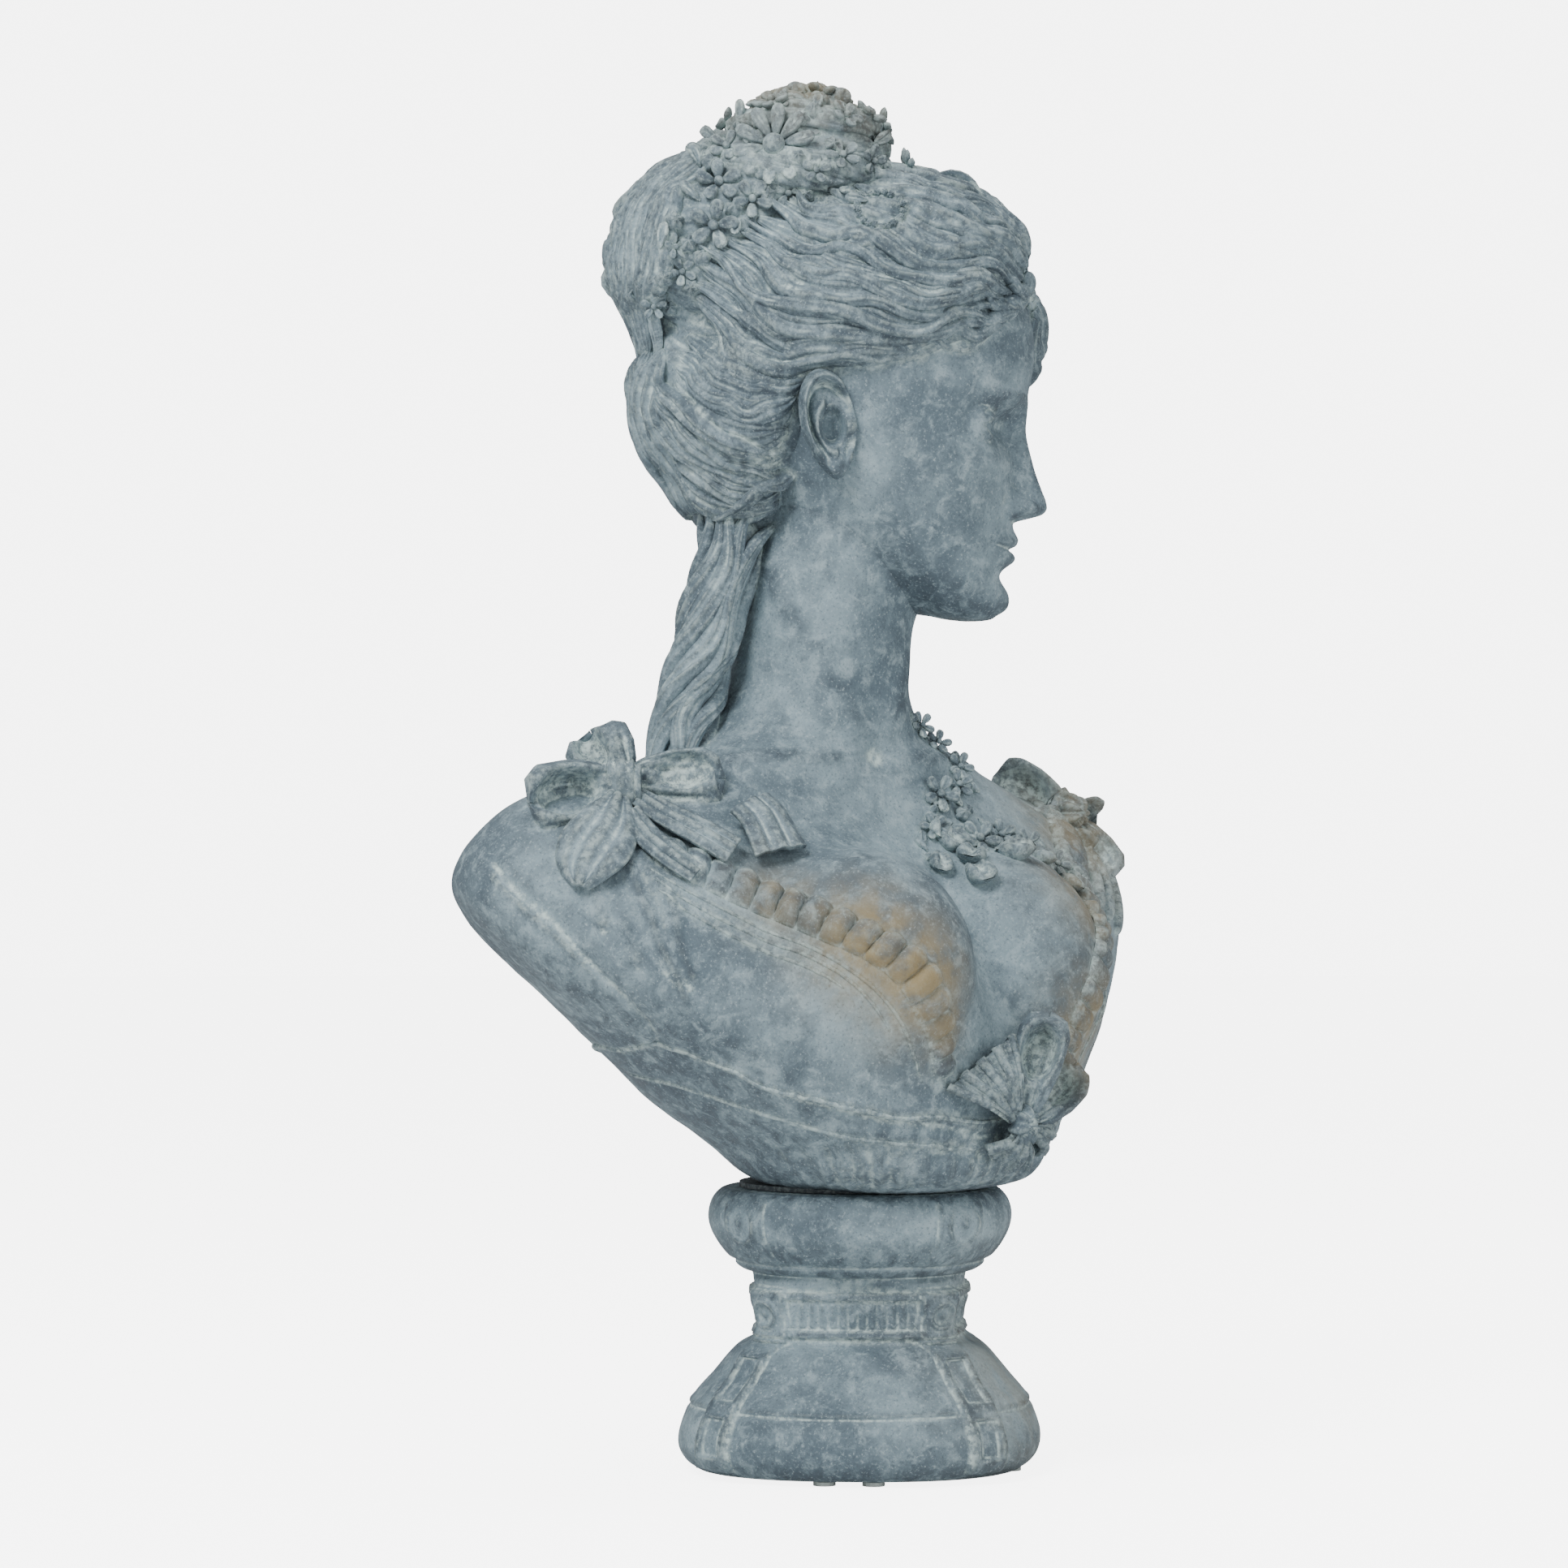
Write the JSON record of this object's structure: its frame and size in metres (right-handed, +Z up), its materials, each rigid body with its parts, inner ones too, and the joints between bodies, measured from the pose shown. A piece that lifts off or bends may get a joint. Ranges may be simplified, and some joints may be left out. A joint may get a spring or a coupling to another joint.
{
  "type": "garden bust",
  "caption": "Cast-stone bust of a lady with dressed hair, flowers and ribbon bows, bolted to a flared socle with a banded neck.",
  "frame": {"origin": "centre of the underside, on the plane the pads stand on", "axes": "+Z up, the chest faces -Y and the bust's own left is +X, and the head turns to its left"},
  "size_m": [0.4091, 0.251, 0.6912],
  "materials": {
    "cast_stone": "weathered blue-grey cast stone, pale wash in the recesses, matte",
    "mortar": "cement mortar, matte",
    "zinc_plated_steel": "zinc plated",
    "clear_rubber": "translucent, matte"
  },
  "bodies": {
    "root": {"bust": "cast_stone", "socle": "cast_stone", "bedding_mortar": "mortar", "anchor_plug": "mortar", "neck_fill": "mortar", "neck_bar": "zinc_plated_steel", "tie_rod": "zinc_plated_steel", "washer": "zinc_plated_steel", "nut": "zinc_plated_steel", "pad_1": "clear_rubber", "pad_2": "clear_rubber", "pad_3": "clear_rubber", "pad_4": "clear_rubber", "pad_5": "clear_rubber", "pad_6": "clear_rubber", "pad_7": "clear_rubber", "pad_8": "clear_rubber"}
  },
  "joints": []
}
